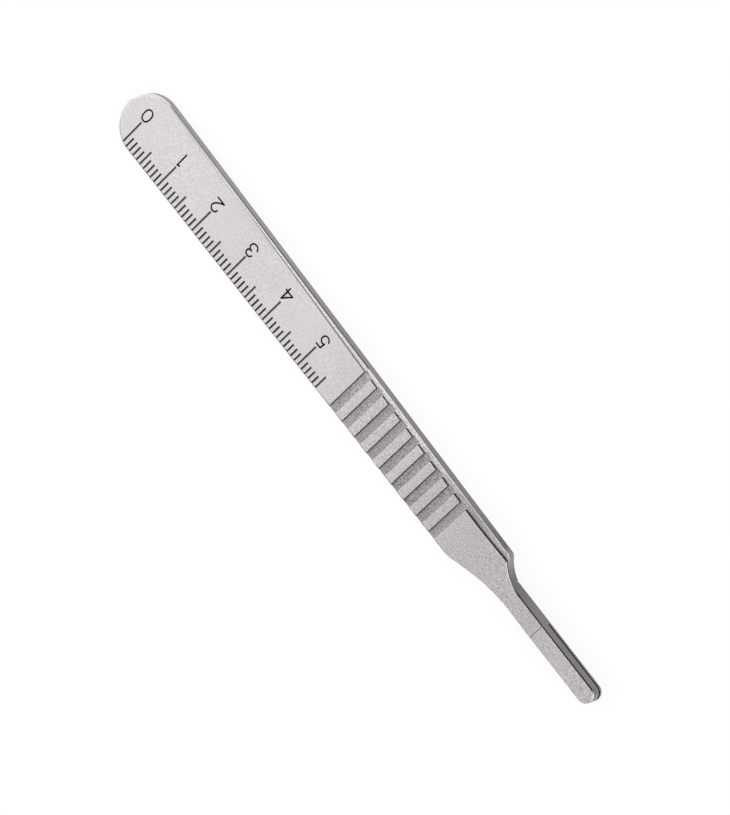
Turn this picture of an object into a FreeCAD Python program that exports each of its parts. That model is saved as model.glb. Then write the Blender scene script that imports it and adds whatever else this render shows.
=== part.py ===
import FreeCAD, Part
import math
import os
import Sketcher

# Scalpel handle, one piece of stainless steel.
# It is drawn with X from the butt to the nose, zero at the ruler's 0 mark, Y zero on the
# centre line of the blade tang, and Z zero on the flat face that carries the ruler, with
# the metal below that face. The last step lays the finished handle down as it rests.

# Driving sizes in millimetres and degrees
SIZES = [
    ("overall_length", 130.9, "butt to nose"),
    ("ruler_inset", 4.4, "butt to the 0 mark"),
    ("butt_radius", 5.78, "round butt, half of the greatest width"),
    ("butt_rise", 0.52, "centre of the butt above the tang's centre line"),
    ("ruler_edge_taper", 0.443, "angle at which the ruler edge leans in"),
    ("ledge_edge_taper", 1.008, "angle at which the opposite edge leans in"),
    ("butt_thickness", 2.2, "thickness at the butt"),
    ("neck_thickness", 2.55, "thickness where the body ends"),
    ("face_edge_round", 0.5, "round of the edges of the ruler face"),
    ("back_edge_round", 0.3, "round of the edges of the back"),
    ("body_end", 97.98, "0 mark to the corner above the neck"),
    ("corner_radius", 1.6, "round of that corner"),
    ("cove_radius", 8.1, "hollow between that corner and the tang"),
    ("shoulder_start", 88.9, "0 mark to where the ruler edge turns in"),
    ("shoulder_radius", 15.0, "round where the ruler edge turns in"),
    ("shoulder_angle", 16.7, "angle of the slope to the tang"),
    ("sweep_radius", 32.0, "hollow between the slope and the tang"),
    ("crop_lead", 0.03, "how far outside the blank the neck's curves start"),
    ("tang_width", 3.24, "width of the blade tang"),
    ("seat_level", 2.12, "face to the seat of the blade"),
    ("seat_edge_x", 100.4, "0 mark to the seat's shoulder on the centre line"),
    ("seat_edge_angle", 40.0, "angle between that shoulder and the centre line"),
    ("boss_drop", 3.35, "face to the bottom of the blade boss"),
    ("boss_start", 102.45, "0 mark to the rear end of the boss"),
    ("boss_corner_round", 0.5, "round of the boss's two rear corners"),
    ("boss_edge_round", 0.2, "round of the boss's lower edge"),
    ("slot_start", 111.6, "0 mark to the rear end of the blade grooves"),
    ("slot_height", 0.46, "height of the blade grooves"),
    ("slot_depth", 0.55, "depth of the blade grooves"),
    ("witness_width", 0.15, "line across the tang above the grooves' rear end"),
    ("witness_depth", 0.04, "depth of that line"),
    ("ledge_knee_x", 91.0, "0 mark to the bend in the ledge's wall"),
    ("ledge_knee_y", 3.38, "centre line to the bend in the ledge's wall"),
    ("ledge_wall_angle", 1.936, "angle at which the wall leans in before the bend"),
    ("ledge_out_angle", 1.4, "angle at which it leans out after the bend"),
    ("ledge_bend_radius", 85.0, "radius of the bend"),
    ("ledge_start_depth", 0.05, "depth of the ledge's floor at the 0 mark"),
    ("ledge_slope", 0.258, "angle at which the ledge's floor falls to the neck"),
    ("band_start", 58.95, "0 mark to the first grip band"),
    ("band_width", 1.7, "width of a grip band"),
    ("band_pitch", 3.45, "step from one grip band to the next"),
    ("band_count", 9, "number of grip bands"),
    ("band_depth", 0.45, "depth of a grip band"),
    ("band_draft", 10.0, "angle at which the walls of a grip band lean out"),
    ("band_overrun", 0.35, "how far a grip band runs out over the ledge"),
    ("mark_width", 0.40, "width of a ruler mark"),
    ("mark_depth", 0.16, "depth of a ruler mark"),
    ("ruler_length", 55, "length of the ruler"),
    ("short_step", 1, "step of the short marks"),
    ("middle_step", 5, "step of the middle marks"),
    ("long_step", 10, "step of the long marks"),
    ("short_mark_end", -2.81, "centre line to the end of a short mark"),
    ("middle_mark_end", -1.79, "centre line to the end of a middle mark"),
    ("long_mark_end", 0.2, "centre line to the end of a long mark"),
    ("run_out", 3.0, "how far a cutter runs past the metal"),
]

# Sizes that follow from the driving ones
DERIVED = [
    ("butt_x", "butt_radius - ruler_inset"),
    ("nose_x", "overall_length - ruler_inset"),
    ("blank_end", "nose_x + run_out"),
    ("blank_depth", "boss_drop + run_out"),
    ("half_tang", "tang_width / 2"),
    ("half_field", "butt_radius + abs(butt_rise) + run_out"),
    ("back_slope", "(neck_thickness - butt_thickness) / (body_end + ruler_inset)"),
    ("back_drop_start", "butt_thickness - back_slope * run_out"),
    ("back_drop_end", "butt_thickness + back_slope * (blank_end + ruler_inset + run_out)"),
    ("shoulder_y", "butt_rise - butt_radius / cos(ruler_edge_taper)"
     " + tan(ruler_edge_taper) * (shoulder_start - butt_x) - crop_lead"),
    ("corner_y", "butt_rise + butt_radius / cos(ledge_edge_taper)"
     " - tan(ledge_edge_taper) * (body_end - butt_x) + crop_lead"),
    ("ledge_wall_start_y", "ledge_knee_y + tan(ledge_wall_angle) * (ledge_knee_x + ruler_inset)"),
    ("ledge_wall_end_y", "ledge_knee_y + tan(ledge_out_angle) * (body_end + run_out - ledge_knee_x)"),
    ("ledge_wall_end_x", "body_end + run_out"),
    ("band_end_y", "ledge_knee_y + tan(ledge_wall_angle) * (ledge_knee_x - band_start)"
     " + band_overrun"),
    ("band_end", "band_start + band_width"),
    ("band_lean", "band_depth * tan(band_draft)"),
    ("boss_height", "boss_drop - seat_level"),
    ("web_half_width", "half_tang - slot_depth"),
    ("short_marks", "floor(ruler_length / short_step) + 1"),
    ("middle_marks", "floor(ruler_length / middle_step) + 1"),
    ("long_marks", "floor(ruler_length / long_step) + 1"),
    ("heel_x", "back_edge_round - ruler_inset"),
    ("heel_drop", "butt_thickness + back_slope * back_edge_round"),
    ("rest_rise", "(boss_drop - heel_drop) / (boss_start + boss_edge_round - heel_x)"),
    ("end_drop", "face_edge_round + boss_drop - boss_edge_round"),
]

NODE = "handle"
_, START, END, CENTRE = range(4)
AXIS, UPRIGHT_AXIS = -1, -2
ORIGIN_POINT = START
TINY = 1e-4


def make_sheet(doc):
    """The spreadsheet: one row for each size, with its note."""
    sheet = doc.addObject("Spreadsheet::Sheet", "Sizes")
    rows = [(name, str(value), note) for name, value, note in SIZES]
    rows += [(name, "=" + formula, "follows from the rows above") for name, formula in DERIVED]
    for row, (name, content, note) in enumerate(rows, start=1):
        sheet.set(f"A{row}", name)
        sheet.set(f"B{row}", content)
        sheet.setAlias(f"B{row}", name)
        sheet.set(f"C{row}", note)
    doc.recompute()
    return sheet


class Drawing:
    """A sketch on a plane of the body, with its dimensions bound to the spreadsheet."""

    def __init__(self, body, name, role="XY_Plane", level=None):
        plane = next(item for item in body.Origin.OriginFeatures if item.Role == role)
        self.sketch = body.newObject("Sketcher::SketchObject", name)
        self.sketch.AttachmentSupport = (plane, [""])
        self.sketch.MapMode = "FlatFace"
        if level:
            self.sketch.setExpression("AttachmentOffset.Base.z", level)
        self.count = 0

    def line(self, start, end, construction=False):
        points = [FreeCAD.Vector(x, y, 0) for x, y in (start, end)]
        return self.sketch.addGeometry(Part.LineSegment(*points), construction)

    def arc(self, centre, radius, first, last):
        """An arc that runs anticlockwise between two angles in degrees."""
        circle = Part.Circle(FreeCAD.Vector(*centre, 0), FreeCAD.Vector(0, 0, 1), radius)
        piece = Part.ArcOfCircle(circle, math.radians(first), math.radians(last))
        return self.sketch.addGeometry(piece, False)

    def relate(self, kind, *places):
        self.sketch.addConstraint(Sketcher.Constraint(kind, *places))

    def bind(self, kind, value, expression, *places):
        self.count += 1
        name = f"{kind}_{self.count}"
        index = self.sketch.addConstraint(Sketcher.Constraint(kind, *places, value))
        self.sketch.renameConstraint(index, name)
        self.sketch.setExpression(f"Constraints.{name}", expression)

    def place(self, piece, point, x=None, y=None):
        """Binds a point's distance from the origin, along X, Y or both."""
        where = self.sketch.getPoint(piece, point)
        if x:
            self.bind("DistanceX", where.x, x, AXIS, ORIGIN_POINT, piece, point)
        if y:
            self.bind("DistanceY", where.y, y, AXIS, ORIGIN_POINT, piece, point)

    def radius(self, piece, expression):
        self.bind("Radius", self.sketch.Geometry[piece].Radius, expression, piece)

    def angle(self, piece, expression):
        run = self.sketch.getPoint(piece, END) - self.sketch.getPoint(piece, START)
        self.bind("Angle", math.atan2(run.y, run.x), expression, piece)

    def polygon(self, corners):
        """A closed outline whose corners are (point, x expression, y expression)."""
        points = [corner[0] for corner in corners]
        pieces = [self.line(a, b) for a, b in zip(points, points[1:] + points[:1])]
        for piece, following in zip(pieces, pieces[1:] + pieces[:1]):
            self.relate("Coincident", piece, END, following, START)
        for piece, (_, x, y) in zip(pieces, corners):
            self.place(piece, START, x, y)


def rectangle(drawing, left, right, bottom, top):
    """An upright rectangle. Each side is a pair: its place and its expression."""
    sides = [(left, bottom), (right, bottom), (right, top), (left, top)]
    drawing.polygon([((x[0], y[0]), x[1], y[1]) for x, y in sides])


def pad(body, name, drawing, length, reverse):
    feature = body.newObject("PartDesign::Pad", name)
    feature.Profile = drawing.sketch
    feature.setExpression("Length", length)
    feature.Reversed = reverse
    return settle(body, feature)


def pocket(body, name, drawing, length, reverse=False):
    """A pocket that goes from its sketch into the metal, for a length."""
    feature = body.newObject("PartDesign::Pocket", name)
    feature.Profile = drawing.sketch
    feature.setExpression("Length", length)
    feature.Reversed = reverse
    return settle(body, feature, cuts=True)


def pocket_through(body, name, drawing, side="One side"):
    feature = body.newObject("PartDesign::Pocket", name)
    feature.Profile = drawing.sketch
    feature.Type = "ThroughAll"
    feature.SideType = side
    return settle(body, feature, cuts=True)


def repeat(body, name, cut, direction, step, count):
    feature = body.newObject("PartDesign::LinearPattern", name)
    feature.Originals = [cut]
    feature.Direction = direction
    feature.Mode = "Spacing"
    feature.setExpression("Offset", step)
    feature.setExpression("Occurrences", count)
    return settle(body, feature, cuts=True)


def round_edges(body, name, chosen, radius):
    """Rounds the edges of the body's last feature that a test picks."""
    base = body.Tip
    names = [f"Edge{i}" for i, edge in enumerate(base.Shape.Edges, start=1) if chosen(edge)]
    feature = body.newObject("PartDesign::Fillet", name)
    feature.Base = (base, names)
    feature.setExpression("Radius", radius)
    return settle(body, feature, cuts=True)


def settle(body, feature, cuts=False):
    """Makes a feature the body's tip and checks that it did its work."""
    body.Tip = feature
    body.Document.recompute()
    if feature.Shape.isNull() or {"Invalid", "Error"} & set(feature.State):
        raise RuntimeError(f"{feature.Name} failed: {feature.State}")
    if cuts and not feature.Shape.Volume < feature.BaseFeature.Shape.Volume:
        raise RuntimeError(f"{feature.Name} cut nothing")
    return feature


def make_blank(body, size):
    """The bar that the handle starts from: a round butt, two tapering edges, a sloping back."""
    plan = Drawing(body, "BlankPlan")
    lean = math.radians(size.ruler_edge_taper)
    fall = math.radians(size.ledge_edge_taper)
    centre = (size.butt_x, size.butt_rise)
    low = (size.butt_x + size.butt_radius * math.sin(lean),
           size.butt_rise - size.butt_radius * math.cos(lean))
    high = (size.butt_x + size.butt_radius * math.sin(fall),
            size.butt_rise + size.butt_radius * math.cos(fall))
    low_end = (size.blank_end, low[1] + math.tan(lean) * (size.blank_end - low[0]))
    high_end = (size.blank_end, high[1] - math.tan(fall) * (size.blank_end - high[0]))
    butt = plan.arc(centre, size.butt_radius,
                    90 - size.ledge_edge_taper, 270 + size.ruler_edge_taper)
    ruler_edge = plan.line(low, low_end)
    end = plan.line(low_end, high_end)
    ledge_edge = plan.line(high_end, high)
    plan.relate("Tangent", butt, END, ruler_edge, START)
    plan.relate("Coincident", ruler_edge, END, end, START)
    plan.relate("Coincident", end, END, ledge_edge, START)
    plan.relate("Tangent", ledge_edge, END, butt, START)
    plan.relate("Vertical", end)
    plan.place(butt, CENTRE, "Sizes.butt_x", "Sizes.butt_rise")
    plan.radius(butt, "Sizes.butt_radius")
    plan.angle(ruler_edge, "Sizes.ruler_edge_taper")
    plan.angle(ledge_edge, "180 - Sizes.ledge_edge_taper")
    plan.place(end, START, "Sizes.blank_end")
    pad(body, "Blank", plan, "Sizes.blank_depth", reverse=True)

    side = Drawing(body, "BackSide", "XZ_Plane")
    front, rear = -size.ruler_inset - size.run_out, size.blank_end + size.run_out
    front_x = "-Sizes.ruler_inset - Sizes.run_out"
    rear_x = "Sizes.blank_end + Sizes.run_out"
    floor = -size.blank_depth - size.run_out
    floor_z = "-Sizes.blank_depth - Sizes.run_out"
    side.polygon([
        ((front, -size.back_drop_start), front_x, "-Sizes.back_drop_start"),
        ((rear, -size.back_drop_end), rear_x, "-Sizes.back_drop_end"),
        ((rear, floor), rear_x, floor_z),
        ((front, floor), front_x, floor_z),
    ])
    pocket_through(body, "SlopingBack", side, "Symmetric")


def round_the_blank(body, size):
    """The long edges and the butt are rounded before the neck is cut."""
    def runs_along(edge):
        return edge.BoundBox.XMin < size.blank_end - TINY

    def on_face(edge):
        return runs_along(edge) and abs(edge.BoundBox.ZMin) < TINY

    def on_back(edge):
        low = edge.BoundBox.ZMax < -size.face_edge_round
        return low and runs_along(edge) and edge.BoundBox.XLength > TINY

    round_edges(body, "FaceEdges", on_face, "Sizes.face_edge_round")
    round_edges(body, "BackEdges", on_back, "Sizes.back_edge_round")


def cut_ledge(body, size):
    """The long shallow step along the edge opposite the ruler, deeper toward the neck."""
    plan = Drawing(body, "LedgePlan")
    lean, out = math.radians(size.ledge_wall_angle), math.radians(size.ledge_out_angle)
    reach = size.ledge_bend_radius * math.tan((lean + out) / 2)
    knee = (size.ledge_knee_x, size.ledge_knee_y)
    before = (knee[0] - reach * math.cos(lean), knee[1] + reach * math.sin(lean))
    after = (knee[0] + reach * math.cos(out), knee[1] + reach * math.sin(out))
    centre = (before[0] + size.ledge_bend_radius * math.sin(lean),
              before[1] + size.ledge_bend_radius * math.cos(lean))
    start = (-size.ruler_inset, size.ledge_wall_start_y)
    finish = (size.ledge_wall_end_x, size.ledge_wall_end_y)
    far = size.half_field
    wall = plan.line(start, before)
    bend = plan.arc(centre, size.ledge_bend_radius,
                    270 - size.ledge_wall_angle, 270 + size.ledge_out_angle)
    flare = plan.line(after, finish)
    end = plan.line(finish, (finish[0], far))
    outside = plan.line((finish[0], far), (start[0], far))
    back = plan.line((start[0], far), start)
    plan.relate("Tangent", wall, END, bend, START)
    plan.relate("Tangent", bend, END, flare, START)
    for piece, following in ((flare, end), (end, outside), (outside, back), (back, wall)):
        plan.relate("Coincident", piece, END, following, START)
    plan.relate("Vertical", end)
    plan.relate("Horizontal", outside)
    plan.relate("Vertical", back)
    plan.place(wall, START, "-Sizes.ruler_inset", "Sizes.ledge_wall_start_y")
    plan.angle(wall, "-Sizes.ledge_wall_angle")
    plan.radius(bend, "Sizes.ledge_bend_radius")
    plan.place(flare, END, "Sizes.ledge_wall_end_x", "Sizes.ledge_wall_end_y")
    plan.place(outside, START, y="Sizes.half_field")

    floor = body.newObject("PartDesign::Plane", "LedgeFloor")
    floor.AttachmentSupport = plan.sketch.AttachmentSupport
    floor.MapMode = "FlatFace"
    floor.setExpression("AttachmentOffset", "placement(vector(0; 0; -Sizes.ledge_start_depth);"
                        " rotation(vector(0; 1; 0); Sizes.ledge_slope))")
    body.Document.recompute()
    feature = body.newObject("PartDesign::Pocket", "Ledge")
    feature.Profile = plan.sketch
    feature.Type = "UpToFace"
    feature.UpToFace = (floor, [""])
    settle(body, feature, cuts=True)


def cut_neck(body, size):
    """Crops the bar to the neck and the tang: a long sweep on one side, a cove on the other."""
    plan = Drawing(body, "NeckPlan")
    slope = math.radians(size.shoulder_angle)
    half, far = size.half_tang, size.half_field
    turn = (size.shoulder_start, size.shoulder_y)
    turn_centre = (turn[0], turn[1] + size.shoulder_radius)
    slope_start = (turn_centre[0] + size.shoulder_radius * math.sin(slope),
                   turn_centre[1] - size.shoulder_radius * math.cos(slope))
    slope_end_y = -half - size.sweep_radius * (1 - math.cos(slope))
    slope_end = (slope_start[0] + (slope_end_y - slope_start[1]) / math.tan(slope), slope_end_y)
    sweep_centre = (slope_end[0] + size.sweep_radius * math.sin(slope), -half - size.sweep_radius)
    nose_centre = (size.nose_x - half, 0)
    corner_centre = (size.body_end, size.corner_y - size.corner_radius)
    cove_y = half + size.cove_radius
    apart = size.cove_radius + size.corner_radius
    cove_x = size.body_end + math.sqrt(apart ** 2 - (cove_y - corner_centre[1]) ** 2)
    facing = math.degrees(math.atan2(cove_y - corner_centre[1], cove_x - size.body_end))
    corner_top = (size.body_end, size.corner_y)
    end_x = size.blank_end + size.run_out

    rise = plan.line((turn[0], -far), turn)
    shoulder = plan.arc(turn_centre, size.shoulder_radius, 270, 270 + size.shoulder_angle)
    ramp = plan.line(slope_start, slope_end)
    sweep = plan.arc(sweep_centre, size.sweep_radius, 90, 90 + size.shoulder_angle)
    low_side = plan.line((sweep_centre[0], -half), (nose_centre[0], -half))
    nose = plan.arc(nose_centre, half, -90, 90)
    high_side = plan.line((nose_centre[0], half), (cove_x, half))
    cove = plan.arc((cove_x, cove_y), size.cove_radius, 180 + facing, 270)
    corner = plan.arc(corner_centre, size.corner_radius, facing, 90)
    leave = plan.line(corner_top, (size.body_end, far))
    top = plan.line((size.body_end, far), (end_x, far))
    end = plan.line((end_x, far), (end_x, -far))
    bottom = plan.line((end_x, -far), (turn[0], -far))
    for first, a, second, b in (
            (shoulder, END, ramp, START), (ramp, END, sweep, END), (sweep, START, low_side, START),
            (low_side, END, nose, START), (nose, END, high_side, START),
            (high_side, END, cove, END), (cove, START, corner, START)):
        plan.relate("Tangent", first, a, second, b)
    for first, second in ((rise, shoulder), (corner, leave), (leave, top), (top, end),
                          (end, bottom), (bottom, rise)):
        plan.relate("Coincident", first, END, second, START)
    for piece in (rise, leave, end):
        plan.relate("Vertical", piece)
    for piece in (top, bottom, low_side, high_side):
        plan.relate("Horizontal", piece)
    plan.relate("Vertical", shoulder, START, shoulder, CENTRE)
    plan.relate("Vertical", corner, END, corner, CENTRE)
    plan.place(shoulder, START, "Sizes.shoulder_start", "Sizes.shoulder_y")
    plan.radius(shoulder, "Sizes.shoulder_radius")
    plan.angle(ramp, "Sizes.shoulder_angle")
    plan.radius(sweep, "Sizes.sweep_radius")
    plan.place(low_side, START, y="-Sizes.half_tang")
    plan.place(nose, CENTRE, x="Sizes.nose_x - Sizes.half_tang")
    plan.place(high_side, START, y="Sizes.half_tang")
    plan.radius(cove, "Sizes.cove_radius")
    plan.radius(corner, "Sizes.corner_radius")
    plan.place(corner, END, "Sizes.body_end", "Sizes.corner_y")
    plan.place(top, END, "Sizes.blank_end + Sizes.run_out", "Sizes.half_field")
    plan.place(bottom, START, y="-Sizes.half_field")
    pocket_through(body, "Neck", plan)


def cut_seat(body, size):
    """The blade's seat on the hidden side, behind a slanting shoulder."""
    plan = Drawing(body, "SeatPlan", level="-Sizes.seat_level")
    back = size.half_field / math.tan(math.radians(size.seat_edge_angle))
    reach = "Sizes.half_field / tan(Sizes.seat_edge_angle)"
    end_x, far = size.blank_end, size.half_field
    plan.polygon([
        ((size.seat_edge_x - back, -far), "Sizes.seat_edge_x - " + reach, "-Sizes.half_field"),
        ((end_x, -far), "Sizes.blank_end", "-Sizes.half_field"),
        ((end_x, far), "Sizes.blank_end", "Sizes.half_field"),
        ((size.seat_edge_x + back, far), "Sizes.seat_edge_x + " + reach, "Sizes.half_field"),
    ])
    pocket_through(body, "Seat", plan)


def add_boss(body, size):
    """The boss that fills the blade's slot: a square rear end, a round nose, and a groove
    round its front for the blade."""
    plan = Drawing(body, "BossPlan", level="-Sizes.seat_level")
    half, corner = size.half_tang, size.boss_corner_round
    rear_x, front_x = size.boss_start, size.nose_x - half
    side_x, end_y = rear_x + corner, half - corner
    rear = plan.line((rear_x, end_y), (rear_x, -end_y))
    low_corner = plan.arc((side_x, -end_y), corner, 180, 270)
    low = plan.line((side_x, -half), (front_x, -half))
    front = plan.arc((front_x, 0), half, -90, 90)
    high = plan.line((front_x, half), (side_x, half))
    high_corner = plan.arc((side_x, end_y), corner, 90, 180)
    chain = (rear, low_corner, low, front, high, high_corner)
    for first, second in zip(chain, chain[1:] + chain[:1]):
        plan.relate("Tangent", first, END, second, START)
    plan.relate("Vertical", rear)
    for side in (low, high):
        plan.relate("Horizontal", side)
    for turn in (low_corner, high_corner):
        plan.radius(turn, "Sizes.boss_corner_round")
    plan.place(rear, START, "Sizes.boss_start")
    plan.place(front, CENTRE, "Sizes.nose_x - Sizes.half_tang")
    plan.relate("PointOnObject", front, CENTRE, AXIS)
    plan.radius(front, "Sizes.half_tang")
    pad(body, "Boss", plan, "Sizes.boss_height", reverse=True)

    ring = Drawing(body, "SlotPlan", level="-Sizes.seat_level")
    web, far, end_x = size.web_half_width, size.half_field, size.blank_end
    start_x = size.slot_start
    tip = ring.arc((front_x, 0), web, -90, 90)
    inner_high = ring.line((front_x, web), (start_x, web))
    rear_high = ring.line((start_x, web), (start_x, far))
    top = ring.line((start_x, far), (end_x, far))
    end = ring.line((end_x, far), (end_x, -far))
    bottom = ring.line((end_x, -far), (start_x, -far))
    rear_low = ring.line((start_x, -far), (start_x, -web))
    inner_low = ring.line((start_x, -web), (front_x, -web))
    ring.relate("Tangent", tip, END, inner_high, START)
    ring.relate("Tangent", inner_low, END, tip, START)
    chain = (inner_high, rear_high, top, end, bottom, rear_low, inner_low)
    for first, second in zip(chain, chain[1:]):
        ring.relate("Coincident", first, END, second, START)
    for piece in (rear_high, end, rear_low):
        ring.relate("Vertical", piece)
    for piece in (inner_high, top, bottom, inner_low):
        ring.relate("Horizontal", piece)
    ring.place(tip, CENTRE, "Sizes.nose_x - Sizes.half_tang")
    ring.relate("PointOnObject", tip, CENTRE, AXIS)
    ring.radius(tip, "Sizes.web_half_width")
    ring.place(rear_high, START, "Sizes.slot_start")
    ring.place(rear_low, START, "Sizes.slot_start", "-Sizes.half_field")
    ring.place(top, END, "Sizes.blank_end", "Sizes.half_field")
    pocket(body, "BladeGrooves", ring, "Sizes.slot_height")

    def under_boss(edge):
        return abs(edge.BoundBox.ZMax + size.boss_drop) < TINY

    round_edges(body, "BossEdge", under_boss, "Sizes.boss_edge_round")


def cut_grip(body, size):
    """Recessed bands across the grip, whose walls lean out and whose ends run over the ledge."""
    section = Drawing(body, "BandSection", "XZ_Plane", level="-Sizes.band_end_y")
    section.polygon([
        ((size.band_start, 0), "Sizes.band_start", None),
        ((size.band_start + size.band_lean, -size.band_depth),
         "Sizes.band_start + Sizes.band_lean", "-Sizes.band_depth"),
        ((size.band_end - size.band_lean, -size.band_depth),
         "Sizes.band_end - Sizes.band_lean", "-Sizes.band_depth"),
        ((size.band_end, 0), "Sizes.band_end", None),
    ])
    for side in (0, 3):
        section.relate("PointOnObject", side, START, AXIS)
    band = pocket(body, "Band", section, "Sizes.band_end_y + Sizes.half_field", reverse=True)

    plan = Drawing(body, "BandCourse")
    lean = math.radians(size.ledge_wall_angle)
    start = (size.band_end, size.band_end_y)
    step = (size.band_pitch * math.cos(lean), size.band_pitch * math.sin(lean))
    course = plan.line(start, (start[0] + step[0], start[1] - step[1]), construction=True)
    plan.place(course, START, "Sizes.band_end", "Sizes.band_end_y")
    plan.angle(course, "-Sizes.ledge_wall_angle")
    plan.bind("Distance", size.band_pitch, "Sizes.band_pitch", course)
    repeat(body, "Bands", band, (plan.sketch, ["Axis0"]), "Sizes.band_pitch", "Sizes.band_count")


def cut_marks(body, size, kind):
    """One set of ruler marks: V grooves from their line on the face to over the ruler's edge."""
    name, end = kind.capitalize(), f"Sizes.{kind}_mark_end"
    section = Drawing(body, f"{name}MarkSection", "XZ_Plane", level=f"-{end}")
    half = size.mark_width / 2
    section.polygon([
        ((-half, 0), "-Sizes.mark_width / 2", None),
        ((0, -size.mark_depth), None, "-Sizes.mark_depth"),
        ((half, 0), "Sizes.mark_width / 2", None),
    ])
    for corner, axis in ((0, AXIS), (1, UPRIGHT_AXIS), (2, AXIS)):
        section.relate("PointOnObject", corner, START, axis)
    mark = pocket(body, f"{name}Mark", section, f"{end} + Sizes.half_field", reverse=True)
    repeat(body, f"{name}Marks", mark, (section.sketch, ["H_Axis"]),
           f"Sizes.{kind}_step", f"Sizes.{kind}_marks")


def cut_witness_line(body, size):
    """The faint line across the tang's face above the rear end of the blade grooves."""
    plan = Drawing(body, "WitnessPlan")
    half = size.witness_width / 2
    rectangle(plan,
              (size.slot_start - half, "Sizes.slot_start - Sizes.witness_width / 2"),
              (size.slot_start + half, "Sizes.slot_start + Sizes.witness_width / 2"),
              (-size.half_field, "-Sizes.half_field"),
              (size.half_field, "Sizes.half_field"))
    pocket(body, "WitnessLine", plan, "Sizes.witness_depth")


def lay_down(body):
    """Sets the handle on a table: it rests on the edge of its butt and the heel of the boss."""
    turn = "atan(Sizes.rest_rise)"
    x = f"-((Sizes.nose_x - Sizes.ruler_inset) * cos({turn}) + Sizes.end_drop * sin({turn})) / 2"
    z = f"Sizes.heel_drop * cos({turn}) - Sizes.heel_x * sin({turn})"
    body.setExpression("Placement", f"placement(vector({x}; -Sizes.butt_rise; {z});"
                       f" rotation(vector(0; 1; 0); -{turn}))")


def main():
    doc = FreeCAD.newDocument("ScalpelHandle")
    size = make_sheet(doc)
    body = doc.addObject("PartDesign::Body", "Handle")
    body.Label = NODE
    make_blank(body, size)
    round_the_blank(body, size)
    cut_ledge(body, size)
    cut_neck(body, size)
    cut_seat(body, size)
    add_boss(body, size)
    cut_grip(body, size)
    for kind in ("short", "middle", "long"):
        cut_marks(body, size, kind)
    cut_witness_line(body, size)
    lay_down(body)
    doc.recompute()

    for item in doc.Objects:
        if {"Invalid", "Error"} & set(item.State):
            raise RuntimeError(f"{item.Name} failed: {item.State}")
    shape = body.Shape
    if shape.isNull() or not shape.isValid() or len(shape.Solids) != 1:
        raise RuntimeError("the handle is not one valid solid")
    os.makedirs("parts", exist_ok=True)
    shape.exportStep(f"parts/{NODE}.step")
    box = shape.BoundBox
    print(f"{NODE}: {box.XLength:.3f} x {box.YLength:.3f} x {box.ZLength:.3f} mm,"
          f" volume {shape.Volume:.2f}, faces {len(shape.Faces)}")
    print(f"from {box.XMin:.3f} {box.YMin:.3f} {box.ZMin:.3f}"
          f" to {box.XMax:.3f} {box.YMax:.3f} {box.ZMax:.3f}")


main()
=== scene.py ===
import math

import bmesh
import bpy
import numpy as np
from mathutils import Matrix, Vector


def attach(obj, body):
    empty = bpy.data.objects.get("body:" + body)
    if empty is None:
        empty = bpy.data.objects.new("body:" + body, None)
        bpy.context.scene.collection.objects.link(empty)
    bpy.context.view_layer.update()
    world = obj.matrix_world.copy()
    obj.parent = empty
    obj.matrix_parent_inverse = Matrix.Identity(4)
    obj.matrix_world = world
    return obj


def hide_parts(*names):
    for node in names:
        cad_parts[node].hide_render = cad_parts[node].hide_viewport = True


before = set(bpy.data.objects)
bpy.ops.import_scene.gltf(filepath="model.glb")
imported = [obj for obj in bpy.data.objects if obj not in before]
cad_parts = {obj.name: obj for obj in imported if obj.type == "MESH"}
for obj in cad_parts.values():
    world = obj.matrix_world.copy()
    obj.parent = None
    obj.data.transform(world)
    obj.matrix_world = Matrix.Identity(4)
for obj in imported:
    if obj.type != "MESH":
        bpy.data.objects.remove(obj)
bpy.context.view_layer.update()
scene = bpy.context.scene

# Camera: a long lens looks down on the ruler face from beyond the blade end, with the butt
# at the upper left of an upright picture.
MM = 0.001
EYE = Vector((179.778, 362.465, 768.324)) * MM
AIM = Vector((2.441, -0.038, 2.930)) * MM
UP = Vector((-0.770033, 0.626903, -0.118501))
FOCAL_LENGTH = 226.728

lens = bpy.data.cameras.new("camera")
lens.lens = FOCAL_LENGTH
lens.sensor_width = 36.0
lens.clip_start, lens.clip_end = 0.05, 20.0
camera = bpy.data.objects.new("camera", lens)
back = (EYE - AIM).normalized()
right = UP.cross(back).normalized()
turned = Matrix((right, back.cross(right), back)).transposed().to_4x4()
camera.matrix_world = Matrix.Translation(EYE) @ turned
scene.collection.objects.link(camera)
scene.camera = camera

# Handle, the one piece of the object: a bar of stainless steel, milled to its outline and
# steps, then satin finished on the flats and blasted in the recesses. The solid comes from
# the frame as it is. The ruler's figures are engraved into a copy of it that replaces it.
HANDLE = "handle"
FACE_LEAN = math.radians(0.61666)
RULER_ZERO = Vector((-61.0661, -0.52, 2.2450)) * MM
WELD = 1e-6
FLAT = math.radians(0.4)
SHARP = math.radians(48)
WITNESS_LINE = 111.6


def as_drawn(points):
    """Points of the lying handle, carried back to its drawing: the face at zero, in millimetres."""
    c, s = math.cos(FACE_LEAN), math.sin(FACE_LEAN)
    x, y, z = ((np.asarray(points) - RULER_ZERO) / MM).T
    return np.stack([x * c + z * s, y, z * c - x * s], axis=-1)


def as_lying(points):
    """Points of the drawing, in millimetres, laid down as the handle lies, in metres."""
    c, s = math.cos(FACE_LEAN), math.sin(FACE_LEAN)
    x, y, z = np.moveaxis(np.asarray(points, float), -1, 0)
    return np.stack([x * c - z * s, y, x * s + z * c], axis=-1) * MM + np.array(RULER_ZERO)


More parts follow.
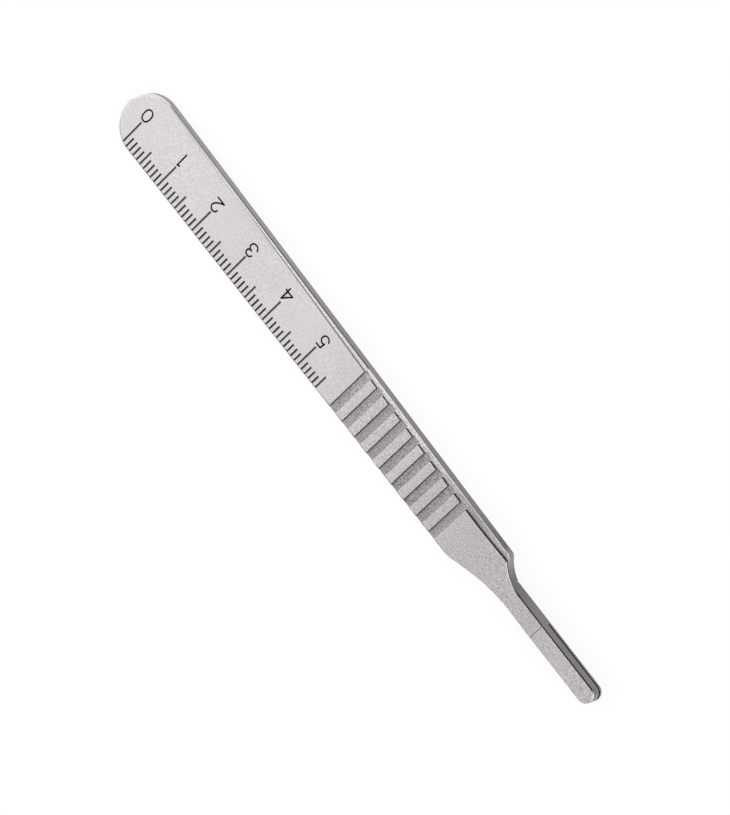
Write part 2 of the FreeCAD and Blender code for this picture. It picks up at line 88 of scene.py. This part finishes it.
def clean_copy(source, name):
    """A copy of a node's loose triangles, welded, with each flat face made one polygon."""
    mesh = source.data.copy()
    mesh.name = name
    shape = bmesh.new()
    shape.from_mesh(mesh)
    bmesh.ops.remove_doubles(shape, verts=shape.verts, dist=WELD)
    bmesh.ops.dissolve_limit(shape, angle_limit=FLAT, verts=shape.verts, edges=shape.edges)
    shape.to_mesh(mesh)
    shape.free()
    mesh.materials.clear()
    piece = bpy.data.objects.new(name, mesh)
    scene.collection.objects.link(piece)
    return piece


# Widths in mm of the edges that polishing leaves round: those of the neck and the tang, of
# the grip's lands, and of the ledge.
NECK_EASE, LAND_EASE, LEDGE_EASE = 0.20, 0.10, 0.14


def ease_edges(piece):
    """Rounds the sharp outer edges between a level face and a wall, a group at a time."""
    shape = bmesh.new()
    shape.from_mesh(piece.data)

    def facing(side):
        """The way a face looks, in the drawing's axes."""
        return as_drawn(np.array(side.normal) * MM + np.array(RULER_ZERO))

    def chosen(edge, group):
        """Whether an edge joins a level face to a wall, stands out, and lies in the group."""
        if len(edge.link_faces) != 2:
            return False
        ends = as_drawn([corner.co for corner in edge.verts])
        (x, y, z), length = ends.mean(0), np.linalg.norm(ends[0] - ends[1])
        flat, wall = sorted((facing(side) for side in edge.link_faces), key=lambda n: -n[2])
        if flat[2] < 0.99 or abs(wall[2]) > 0.3 or not edge.is_convex or length < 0.01:
            return False
        on_face = abs(z) < 0.02
        if group == "neck":
            across = abs(x - WITNESS_LINE) < 0.2 and abs(ends[0][0] - ends[1][0]) < 0.01
            return on_face and x > 92.8 and not across and not (y > 3.3 and x < 99.6)
        if group == "land":
            return on_face and 58.5 < x < 89 and y < 4.7 and abs(wall[0]) > 0.9
        return -0.7 < z < -0.1 and 45 < x < 99.9 and y > 3.3 and wall[1] > 0.3

    for group, width in (("neck", NECK_EASE), ("land", LAND_EASE), ("ledge", LEDGE_EASE)):
        picked = [edge for edge in shape.edges if chosen(edge, group)]
        bmesh.ops.bevel(shape, geom=picked, offset=width * MM, offset_type="OFFSET",
                        segments=2, profile=0.5, affect="EDGES", clamp_overlap=False)
    shape.to_mesh(piece.data)
    shape.free()


# The figures stand at the centimetre marks with their tops to the ruler's edge. Each is cut
# with a round-nosed tool, so each stroke is a centre line of (right, up) points in mm with
# round ends.
FIGURE_CENTRE_Y = 1.84
FIGURE_STROKE = 0.30
FIGURE_DEPTH = 0.12
FIGURES = {
    -0.09: [("loop", 0.80, 1.18)],
    9.9: [("line", (0.03, -1.25), (0.03, 1.27)), ("line", (0.03, 1.27), (-0.40, 1.02))],
    20.0: [
        ("curve", (-0.68, 0.62), (-0.58, 0.98), (0.08, 1.27), (0.70, 0.85), (0.72, 0.28),
         (0.32, -0.28), (-0.20, -0.72), (-0.84, -1.11)),
        ("line", (-0.84, -1.11), (0.88, -1.11)),
    ],
    30.0: [
        ("curve", (-0.68, 0.72), (-0.42, 1.14), (0.05, 1.27), (0.56, 1.06), (0.70, 0.62),
         (0.48, 0.27), (-0.02, 0.16)),
        ("curve", (-0.02, 0.16), (0.50, 0.02), (0.80, -0.48), (0.58, -1.02), (0.0, -1.23),
         (-0.52, -1.06), (-0.78, -0.62)),
    ],
    40.0: [
        ("line", (0.42, -1.25), (0.42, 1.20)),
        ("line", (0.42, 1.20), (-0.92, -0.57)),
        ("line", (-0.92, -0.57), (0.84, -0.57)),
    ],
    50.2: [
        ("line", (0.64, 1.13), (-0.40, 1.13)),
        ("line", (-0.40, 1.13), (-0.50, 0.12)),
        ("curve", (-0.50, 0.12), (-0.10, 0.30), (0.38, 0.08), (0.62, -0.42), (0.42, -0.98),
         (-0.08, -1.19), (-0.58, -1.04), (-0.86, -0.66)),
    ],
}


def stroke_path(kind, *facts):
    """Stations along a stroke. A line has two, a loop goes round a flattened oval, and a
    curve is the Catmull-Rom spline through its points."""
    if kind == "loop":
        half_width, half_height = facts
        turn = np.linspace(0, 2 * math.pi, 49)
        c, s = np.cos(turn), np.sin(turn)
        squeeze = (abs(c) ** 2.3 + abs(s) ** 2.3) ** (-1 / 2.3)
        return np.stack([half_width * c * squeeze, half_height * s * squeeze], axis=-1)
    points = np.array(facts)
    if kind == "line":
        return points
    before, after = 2 * points[0] - points[1], 2 * points[-1] - points[-2]
    p = np.vstack([before, points, after])
    t = np.linspace(0, 1, 6, endpoint=False)[:, None, None]
    a, b, c, d = p[:-3], p[1:-2], p[2:-1], p[3:]
    spans = (2 * b + (c - a) * t + (2 * a - 5 * b + 4 * c - d) * t ** 2
             + (3 * b - a - 3 * c + d) * t ** 3) / 2
    return np.vstack([spans.transpose(1, 0, 2).reshape(-1, 2), points[-1:]])


def stroke_cutter(path, floor):
    """A box section carried along a path: half a stroke to each side of it, from above the
    face down to the floor. A closed path joins up, and an open one ends in half rounds."""
    half = FIGURE_STROKE / 2
    closed = np.allclose(path[0], path[-1])
    ahead = np.gradient(path, axis=0)
    if closed:
        path, ahead = path[:-1], np.roll(path[:-1], -1, axis=0) - np.roll(path[:-1], 1, axis=0)
    ahead /= np.linalg.norm(ahead, axis=1, keepdims=True)
    width = np.full(len(path), half)
    if not closed:
        turn = np.radians([90, 60, 30])[:, None]
        path = np.vstack([path[0] - half * np.sin(turn) * ahead[0], path,
                          (path[-1] + half * np.sin(turn) * ahead[-1])[::-1]])
        ahead = np.vstack([np.repeat(ahead[:1], 3, 0), ahead, np.repeat(ahead[-1:], 3, 0)])
        cap = half * np.cos(turn[:, 0])
        width = np.concatenate([cap, width, cap[::-1]])
    aside = np.stack([-ahead[:, 1], ahead[:, 0]], axis=-1) * width[:, None]
    lift = FIGURE_STROKE
    corners = [(path + aside, lift), (path - aside, lift), (path - aside, floor),
               (path + aside, floor)]
    ring = np.stack([np.column_stack([flat, np.full(len(flat), z)]) for flat, z in corners], 1)
    count = len(path)
    step = np.arange(count if closed else count - 1)
    side = np.arange(4)
    near = step[:, None] * 4 + side
    far = ((step + 1) % count)[:, None] * 4 + side
    quads = np.stack([near, np.roll(near, -1, 1), np.roll(far, -1, 1), far], -1).reshape(-1, 4)
    return ring.reshape(-1, 3), quads


def engrave(piece):
    """Cuts the figures into the face: one cutter for each stroke, and one cut for all of the
    first strokes, one for the second and one for the third, so that no cutter crosses itself."""
    rounds = max(len(strokes) for strokes in FIGURES.values())
    for turn in range(rounds):
        points, faces, count = [], [], 0
        for mark, strokes in FIGURES.items():
            if turn < len(strokes):
                flat, quads = stroke_cutter(stroke_path(*strokes[turn]),
                                            -FIGURE_DEPTH - 0.004 * turn)
                flat[:, 0], flat[:, 1] = mark - flat[:, 0], FIGURE_CENTRE_Y - flat[:, 1]
                points.append(flat)
                faces.append(quads + count)
                count += len(flat)
        mesh = bpy.data.meshes.new("figure_cutter")
        mesh.from_pydata(as_lying(np.vstack(points)), [], np.vstack(faces).tolist())
        shape = bmesh.new()
        shape.from_mesh(mesh)
        bmesh.ops.remove_doubles(shape, verts=shape.verts, dist=WELD)
        bmesh.ops.recalc_face_normals(shape, faces=shape.faces)
        shape.to_mesh(mesh)
        shape.free()
        cutter = bpy.data.objects.new("figure_cutter", mesh)
        scene.collection.objects.link(cutter)
        cut = piece.modifiers.new("figures", "BOOLEAN")
        cut.operation, cut.solver, cut.object = "DIFFERENCE", "EXACT", cutter
        carved = bpy.data.meshes.new_from_object(
            piece.evaluated_get(bpy.context.evaluated_depsgraph_get()))
        piece.modifiers.clear()
        piece.data = carved
        bpy.data.objects.remove(cutter)
    piece.data.name = piece.name


handle = clean_copy(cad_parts[HANDLE], "engraved_handle")
ease_edges(handle)
engrave(handle)

# Finishes of the steel, and light and shade painted into them. The flats are satin, the recesses
# and the ledge blasted. The outer walls are darker, partly a duller finish and partly painted
# shade; the low walls and the blade's grooves are painted near black as painted shade, and the
# figures are dark. The eased edges get a painted highlight. Each mark of the ruler has a flank
# in painted shade and a slope in painted half shade.
STEEL_FACE = (0.64, 0.61, 0.61)
STEEL_RECESS = (0.50, 0.46, 0.48)
STEEL_LEDGE = (0.66, 0.62, 0.65)
STEEL_EDGE_SHADE = (0.25, 0.24, 0.24)
STEEL_DARK_SHADE_AND_FIGURES = (0.015, 0.015, 0.015)
STEEL_PAINTED_HIGHLIGHT = (0.96, 0.95, 0.95)
STEEL_MARK_SHADE = (0.05, 0.05, 0.05)
STEEL_MARK_HALF_SHADE = (0.24, 0.23, 0.23)
# The colour of the painted highlight on the eased edges.
STEEL_EDGE_HIGHLIGHT = (0.95, 0.93, 0.93)
EDGE_BREAK = 0.12
CLOUDS_PER_METRE = 260.0


def add(tree, kind, values=(), **settings):
    """A node with its settings, and its inputs filled with values or linked to sockets."""
    made = tree.nodes.new(kind)
    for name, value in settings.items():
        setattr(made, name, value)
    for place, value in dict(values).items():
        if isinstance(value, bpy.types.NodeSocket):
            tree.links.new(value, made.inputs[place])
        else:
            made.inputs[place].default_value = value
    return made


def new_group(name, inputs, outputs):
    """An empty node group with its named sockets, and its input and output nodes."""
    tree = bpy.data.node_groups.new(name, "ShaderNodeTree")
    for socket, kind, value in inputs:
        made = tree.interface.new_socket(socket, in_out="INPUT", socket_type=kind)
        made.default_value = value
    for socket, kind in outputs:
        tree.interface.new_socket(socket, in_out="OUTPUT", socket_type=kind)
    return tree, tree.nodes.new("NodeGroupInput"), tree.nodes.new("NodeGroupOutput")


NUMBER, COLOUR = "NodeSocketFloat", "NodeSocketColor"
# The mark of the ruler that a point lies at.
ruler, _, ruler_out = new_group("ruler mark", [], [("Along", NUMBER)])
place = add(ruler, "ShaderNodeTexCoord").outputs["Object"]
drawn = add(ruler, "ShaderNodeMapping", {
    "Vector": place, "Location": RULER_ZERO, "Rotation": (0, -FACE_LEAN, 0),
}, vector_type="TEXTURE").outputs[0]
along = add(ruler, "ShaderNodeSeparateXYZ", {0: drawn}).outputs["X"]
marks = add(ruler, "ShaderNodeMath", {0: along, 1: 1 / MM}, operation="MULTIPLY").outputs[0]
ruler.links.new(marks, ruler_out.inputs["Along"])

# A colour made lighter and darker by the grain of the blasting and by broad clouds, and the
# height of that grain.
grain, grain_in, grain_out = new_group(
    "blasted grain",
    [("Colour", COLOUR, (0.5, 0.5, 0.5, 1)), ("Size", NUMBER, 0.2), ("Contrast", NUMBER, 0.1),
     ("Cloud", NUMBER, 0.05)],
    [("Colour", COLOUR), ("Height", NUMBER)])
place = add(grain, "ShaderNodeTexCoord").outputs["Object"]
fineness = add(grain, "ShaderNodeMath", {0: 1 / MM, 1: grain_in.outputs["Size"]},
               operation="DIVIDE").outputs[0]
fine = add(grain, "ShaderNodeTexNoise", {"Vector": place, "Scale": fineness, "Detail": 3.0,
                                         "Roughness": 0.6}).outputs["Fac"]
broad = add(grain, "ShaderNodeTexNoise", {"Vector": place, "Scale": CLOUDS_PER_METRE,
                                          "Detail": 3.0, "Roughness": 0.55}).outputs["Fac"]


def spread(tree, mask, amount):
    """One, plus the amount times the mask's distance from its middle."""
    centred = add(tree, "ShaderNodeMath", {0: mask, 1: 0.5}, operation="SUBTRACT").outputs[0]
    return add(tree, "ShaderNodeMath", {0: centred, 1: amount, 2: 1.0},
               operation="MULTIPLY_ADD").outputs[0]


level = add(grain, "ShaderNodeMath", {
    0: spread(grain, fine, grain_in.outputs["Contrast"]),
    1: spread(grain, broad, grain_in.outputs["Cloud"]),
}, operation="MULTIPLY").outputs[0]
tone = add(grain, "ShaderNodeVectorMath", {0: grain_in.outputs["Colour"]}, operation="SCALE")
grain.links.new(level, tone.inputs["Scale"])
grain.links.new(tone.outputs[0], grain_out.inputs["Colour"])
grain.links.new(fine, grain_out.inputs["Height"])

# A normal that turns round the sharp edges, and a colour lightened there as a painted highlight.
edges, edges_in, edges_out = new_group(
    "eased edges", [("Colour", COLOUR, (0.5, 0.5, 0.5, 1)), ("Radius", NUMBER, 0.1),
                    ("Painted Highlight", NUMBER, 0.0)],
    [("Colour", COLOUR), ("Normal", "NodeSocketVector")])
reach = add(edges, "ShaderNodeMath", {0: edges_in.outputs["Radius"], 1: MM},
            operation="MULTIPLY").outputs[0]
eased = add(edges, "ShaderNodeBevel", {"Radius": reach}, samples=8).outputs[0]
plain = add(edges, "ShaderNodeNewGeometry").outputs["True Normal"]
agree = add(edges, "ShaderNodeVectorMath", {0: eased, 1: plain},
            operation="DOT_PRODUCT").outputs["Value"]
turned_away = add(edges, "ShaderNodeMapRange", {"Value": agree, "From Min": 0.995,
                                                "From Max": 0.85}).outputs["Result"]
shine = add(edges, "ShaderNodeMath", {0: turned_away, 1: edges_in.outputs["Painted Highlight"]},
            operation="MULTIPLY").outputs[0]
bright = add(edges, "ShaderNodeMix", {0: shine, 6: edges_in.outputs["Colour"],
                                      7: (*STEEL_EDGE_HIGHLIGHT, 1)}, data_type="RGBA").outputs[2]
edges.links.new(bright, edges_out.inputs["Colour"])
edges.links.new(eased, edges_out.inputs["Normal"])


def finish(name, colour, roughness, size, contrast, cloud, bump, painted_highlight=0.0, along=()):
    """A steel finish: its colour and roughness, the size of its grain in mm and its contrast,
    how cloudy it is, how far its grain stands up in mm, how strong a painted highlight its
    edges get, and how its tone runs along the handle, as pairs of a ruler mark and a share of
    the colour; that ramp is painted light and shade along the handle."""
    made = bpy.data.materials.new(name)
    made.use_nodes = True
    tree = made.node_tree
    shader = tree.nodes["Principled BSDF"]
    shader.inputs["Metallic"].default_value = 1.0
    shader.inputs["Roughness"].default_value = roughness
    shade = (*colour, 1)
    # The ramp along the handle paints light and shade into the colour.
    if along:
        mark = add(tree, "ShaderNodeGroup", node_tree=ruler).outputs["Along"]
        low, high = along[0][0], along[-1][0]
        part = add(tree, "ShaderNodeMapRange", {"Value": mark, "From Min": low,
                                                "From Max": high}).outputs["Result"]
        ramp = add(tree, "ShaderNodeValToRGB", {0: part})
        stops = ramp.color_ramp.elements
        for index, (x, share) in enumerate(along):
            stop = stops[index] if index < 2 else stops.new(1.0)
            stop.position = (x - low) / (high - low)
            stop.color = (*(c * share for c in colour), 1)
        shade = ramp.outputs["Color"]
    worked = add(tree, "ShaderNodeGroup", node_tree=grain)
    rubbed = add(tree, "ShaderNodeGroup", node_tree=edges)
    for group, values in ((worked, {"Size": size, "Contrast": contrast, "Cloud": cloud}),
                          (rubbed, {"Radius": EDGE_BREAK, "Painted Highlight": painted_highlight})):
        for socket, value in values.items():
            group.inputs[socket].default_value = value
    if along:
        tree.links.new(shade, worked.inputs["Colour"])
    else:
        worked.inputs["Colour"].default_value = shade
    tree.links.new(worked.outputs["Colour"], rubbed.inputs["Colour"])
    tree.links.new(rubbed.outputs["Colour"], shader.inputs["Base Color"])
    relief = add(tree, "ShaderNodeBump", {"Height": worked.outputs["Height"],
                                          "Distance": bump * MM,
                                          "Normal": rubbed.outputs["Normal"]})
    tree.links.new(relief.outputs[0], shader.inputs["Normal"])
    return made


# The ramps along the handle below are painted light and shade, standing in for how the lamps light
# it from butt to nose; the recess is darker partly as a blasted finish.
FINISHES = [
    finish("satin face", STEEL_FACE, 0.34, 0.25, 0.9, 0.10, 0.004, painted_highlight=0.7,
           along=((30, 1.0), (45, 1.06), (58, 1.02))),
    finish("satin land", STEEL_FACE, 0.36, 0.22, 2.0, 0.06, 0.010, painted_highlight=0.7,
           along=((58, 1.02), (68, 0.95), (75, 1.0), (84, 0.91))),
    finish("satin neck", STEEL_FACE, 0.36, 0.23, 2.0, 0.06, 0.012, painted_highlight=0.4,
           along=((88, 0.96), (92, 0.92), (96, 0.92), (101, 0.93), (110, 0.93), (116, 0.99))),
    finish("blasted recess", STEEL_RECESS, 0.50, 0.23, 3.0, 0.08, 0.02,
           along=((59, 1.03), (66, 0.86), (80, 0.78), (88, 0.86))),
    # The ledge's ramp is painted light and shade: light toward the butt, dark toward the neck where
    # its wall shades it, lighter again near its end.
    finish("blasted ledge, painted shade", STEEL_LEDGE, 0.38, 0.23, 2.8, 0.10, 0.016,
           along=((30, 1.60), (45, 1.22), (58, 1.14), (70, 1.18), (80, 0.98), (90, 0.62),
                  (96, 0.86), (99, 0.72))),
    # The outer walls are darker partly as a duller finish and partly as painted shade, and their
    # ramp paints light and shade along the handle, bright at the cove.
    finish("dull edge, painted shade", STEEL_EDGE_SHADE, 0.42, 0.30, 1.0, 0.10, 0.004, painted_highlight=0.12,
           along=((0, 1.45), (35, 1.3), (60, 1.06), (90, 0.88), (97, 0.52), (99.5, 1.35),
                  (102, 0.74), (105, 0.68), (108, 0.84))),
    # Near black: painted shade on the low walls and in the blade's grooves, a painted dark
    # reflection on the cove's edge, and the dark figures.
    finish("painted shade and dark figures", STEEL_DARK_SHADE_AND_FIGURES, 0.60, 0.25, 0.5, 0.05, 0.004),
    finish("mark flank, painted shade", STEEL_MARK_SHADE, 0.50, 0.25, 0.8, 0.05, 0.004),
    finish("mark slope, painted half shade", STEEL_MARK_HALF_SHADE, 0.45, 0.25, 1.2, 0.05, 0.004),
    # Painted highlights on the eased edges of the ledge, the cove and the nose; the ramp takes the
    # tang's eased edge to near black as a painted dark reflection.
    finish("painted highlight edge", STEEL_PAINTED_HIGHLIGHT, 0.30, 0.25, 0.6, 0.05, 0.002,
           along=((99, 1.0), (102.6, 0.9), (104.8, 0.02), (125.2, 0.02), (126.0, 1.0))),
]
SATIN, LAND, NECK, RECESS, LEDGE, EDGE_SHADE, DARK_SHADE_AND_FIGURES, SHADED_FLANK, HALF_SHADED_SLOPE, PAINTED_HIGHLIGHT = range(10)

# Where the finishes change, in mm on the ruler: the grip's ends, the cove's start, and the
# tang's. Before its bend the ledge's wall leans away from the centre line.
GRIP_START, GRIP_END, COVE_START, TANG_START = 58.5, 89, 99, 105
WALL_OFFSET, WALL_BEND, WALL_LEAN = 3.38, 91, math.radians(1.936)
MARK_FLANK_RISE = 0.78


def choose_finish(piece):
    """Gives each face its finish and its painted light and shade by where it lies on the drawing
    and which way it looks.
    """
    mesh = piece.data
    count = len(mesh.polygons)
    centre, normal = np.empty(count * 3), np.empty(count * 3)
    mesh.polygons.foreach_get("center", centre)
    mesh.polygons.foreach_get("normal", normal)
    x, y, z = as_drawn(centre.reshape(-1, 3)).T
    nx, ny, nz = as_drawn(normal.reshape(-1, 3) * MM + np.array(RULER_ZERO)).T
    upright = abs(nz) < 0.3
    level = nz > 0.99
    ledge_wall = WALL_OFFSET + math.tan(WALL_LEAN) * np.maximum(WALL_BEND - x, 0)
    off_wall = y - ledge_wall
    beside_grip = (x > GRIP_START) & (x < GRIP_END)
    grip = beside_grip & (z > -0.5)
    figure = (x > -1) & (x < 57) & (y > 0) & (y < 3.3) & (z < -0.01) & (z > -0.14)
    mark = (x > -0.5) & (x < 55.5) & (y < 0.3) & (abs(ny) < 0.05)
    mark &= abs(nz - MARK_FLANK_RISE) < 0.08
    witness = (abs(x - WITNESS_LINE) < 0.09) & (z < -0.01) & (z > -0.05)
    groove = (x > WITNESS_LINE - 0.1) & (z < -2.1) & (z > -2.6)
    chosen = np.full(count, SATIN)
    chosen[beside_grip] = LAND
    chosen[x > GRIP_END] = NECK
    # The upright walls take the darker tone, painted shade in part.
    chosen[upright] = EDGE_SHADE
    eased = (nz > 0.2) & (nz < 0.985)
    # Eased edges on the ruler's side take the same darker tone as painted shade.
    chosen[eased & (ny < -0.45) & (z < -0.05) & (x < COVE_START)] = EDGE_SHADE
    # Eased edges on the stepped side, by the ledge and round the neck, get a painted highlight.
    chosen[eased & (ny > 0.1) & (z > -0.75) & (x < COVE_START)] = PAINTED_HIGHLIGHT
    neck_edge = eased & (ny > 0.1) & (z > -0.25) & (x > COVE_START)
    chosen[neck_edge] = PAINTED_HIGHLIGHT
    # Part of the cove's eased edge is painted near black as a painted dark reflection.
    chosen[neck_edge & (x > COVE_START + 0.2) & (x < TANG_START) & (nz < 0.65)] = DARK_SHADE_AND_FIGURES
    chosen[level & (nx > 0.002) & (z < -0.04) & (z > -0.7)] = LEDGE
    chosen[level & (nx < 0.002) & grip & (z < -0.40)] = RECESS
    # The band walls and the ledge's wall are painted near black as painted shade.
    chosen[upright & grip & (abs(nx) > 0.9)] = DARK_SHADE_AND_FIGURES
    chosen[upright & (z > -0.5) & (abs(off_wall) < 0.9) & (x > 5) & (ny > 0.9)] = DARK_SHADE_AND_FIGURES
    chosen[figure & (level | upright)] = DARK_SHADE_AND_FIGURES
    # The side of each mark that faces the nose is painted dark and the other side grey, as the
    # witness line is: painted shade and half shade.
    chosen[mark & (nx > 0.5)] = SHADED_FLANK
    chosen[(mark & (nx < -0.5)) | witness] = HALF_SHADED_SLOPE
    # The blade's grooves are painted near black as painted shade.
    chosen[groove & (level | (nz < -0.99) | (upright & (abs(y) < 1.2)))] = DARK_SHADE_AND_FIGURES
    mesh.polygons.foreach_set("material_index", chosen.astype(np.int32))


for made in FINISHES:
    handle.data.materials.append(made)
choose_finish(handle)
handle.data.shade_smooth()
handle.data.set_sharp_from_angle(angle=SHARP)
even = handle.modifiers.new("even shading", "WEIGHTED_NORMAL")
even.keep_sharp, even.weight = True, 100
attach(handle, "root")
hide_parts(HANDLE)

# Table: a plain white surface that shows white to the eye and in the steel, and keeps a
# little of the handle's shadow.
TABLE_SIZE = 6.0
TABLE_GLOW, GLOW_SHARE = 1.09, 0.79
TABLE_WHITE = (0.85, 0.85, 0.85, 1)

bpy.ops.mesh.primitive_plane_add(size=TABLE_SIZE)
table = bpy.context.object
table.name = "table"
white = bpy.data.materials.new("white table")
white.use_nodes = True
tree = white.node_tree
tree.nodes.remove(tree.nodes["Principled BSDF"])
matt = add(tree, "ShaderNodeBsdfDiffuse", {"Color": TABLE_WHITE}).outputs[0]
glow = add(tree, "ShaderNodeEmission", {"Color": (1, 1, 1, 1), "Strength": TABLE_GLOW}).outputs[0]
path = add(tree, "ShaderNodeLightPath").outputs
seen = add(tree, "ShaderNodeMath", {0: path["Is Camera Ray"], 1: path["Is Glossy Ray"]},
           operation="MAXIMUM").outputs[0]
seen = add(tree, "ShaderNodeMath", {0: seen, 1: path["Is Transmission Ray"]},
           operation="MAXIMUM").outputs[0]
share = add(tree, "ShaderNodeMath", {0: seen, 1: GLOW_SHARE}, operation="MULTIPLY").outputs[0]
mixed = add(tree, "ShaderNodeMixShader", {0: share, 1: matt, 2: glow}).outputs[0]
tree.links.new(mixed, tree.nodes["Material Output"].inputs["Surface"])
table.data.materials.append(white)

# Light: a white room that is a little darker behind the stepped edge, low over the table, as
# a grey card there would make it, and broad soft lamps over the butt and the nose.
CARD_SIDE = Vector((-0.20, 0.90, 0.42)).normalized()
CARD_REACH, CARD_CORE = math.radians(50), math.radians(22)
ROOM_LIGHT = 0.72
CARD_LIGHT = 0.60

sky = bpy.data.worlds.new("white room")
scene.world = sky
sky.use_nodes = True
tree = sky.node_tree
toward = add(tree, "ShaderNodeTexCoord").outputs["Generated"]
nearness = add(tree, "ShaderNodeVectorMath", {0: toward, 1: CARD_SIDE},
               operation="DOT_PRODUCT").outputs["Value"]
dim = add(tree, "ShaderNodeMapRange", {
    "Value": nearness, "From Min": math.cos(CARD_REACH), "From Max": math.cos(CARD_CORE),
    "To Min": ROOM_LIGHT, "To Max": CARD_LIGHT,
}, interpolation_type="SMOOTHSTEP").outputs["Result"]
path = add(tree, "ShaderNodeLightPath").outputs
level = add(tree, "ShaderNodeMix", {0: path["Is Camera Ray"], 2: dim, 3: 1.0}).outputs[0]
tree.links.new(level, tree.nodes["Background"].inputs["Strength"])
tree.nodes["Background"].inputs["Color"].default_value = (1, 1, 1, 1)


def soft_lamp(name, place, aim, size, light):
    """A square lamp at a place, turned to a point, both in metres, with its own brightness."""
    data = bpy.data.lights.new(name, "AREA")
    data.size, data.energy = size, light * math.pi * size ** 2
    lamp = bpy.data.objects.new(name, data)
    place, aim = Vector(place), Vector(aim)
    lamp.matrix_world = (Matrix.Translation(place)
                         @ (place - aim).to_track_quat("Z", "Y").to_matrix().to_4x4())
    scene.collection.objects.link(lamp)


soft_lamp("butt lamp", (-0.24, -0.20, 0.42), (-0.05, 0, 0), 0.26, 0.6)
soft_lamp("low lamp", (-0.45, -0.25, 0.28), (-0.0, 0, 0), 0.24, 1.2)
soft_lamp("top lamp", (0.0, 0.12, 0.60), (0, 0, 0), 0.20, 1.0)
soft_lamp("nose lamp", (0.50, 0.25, 0.22), (0.04, 0, 0), 0.20, 1.2)

scene.view_settings.view_transform = "Standard"
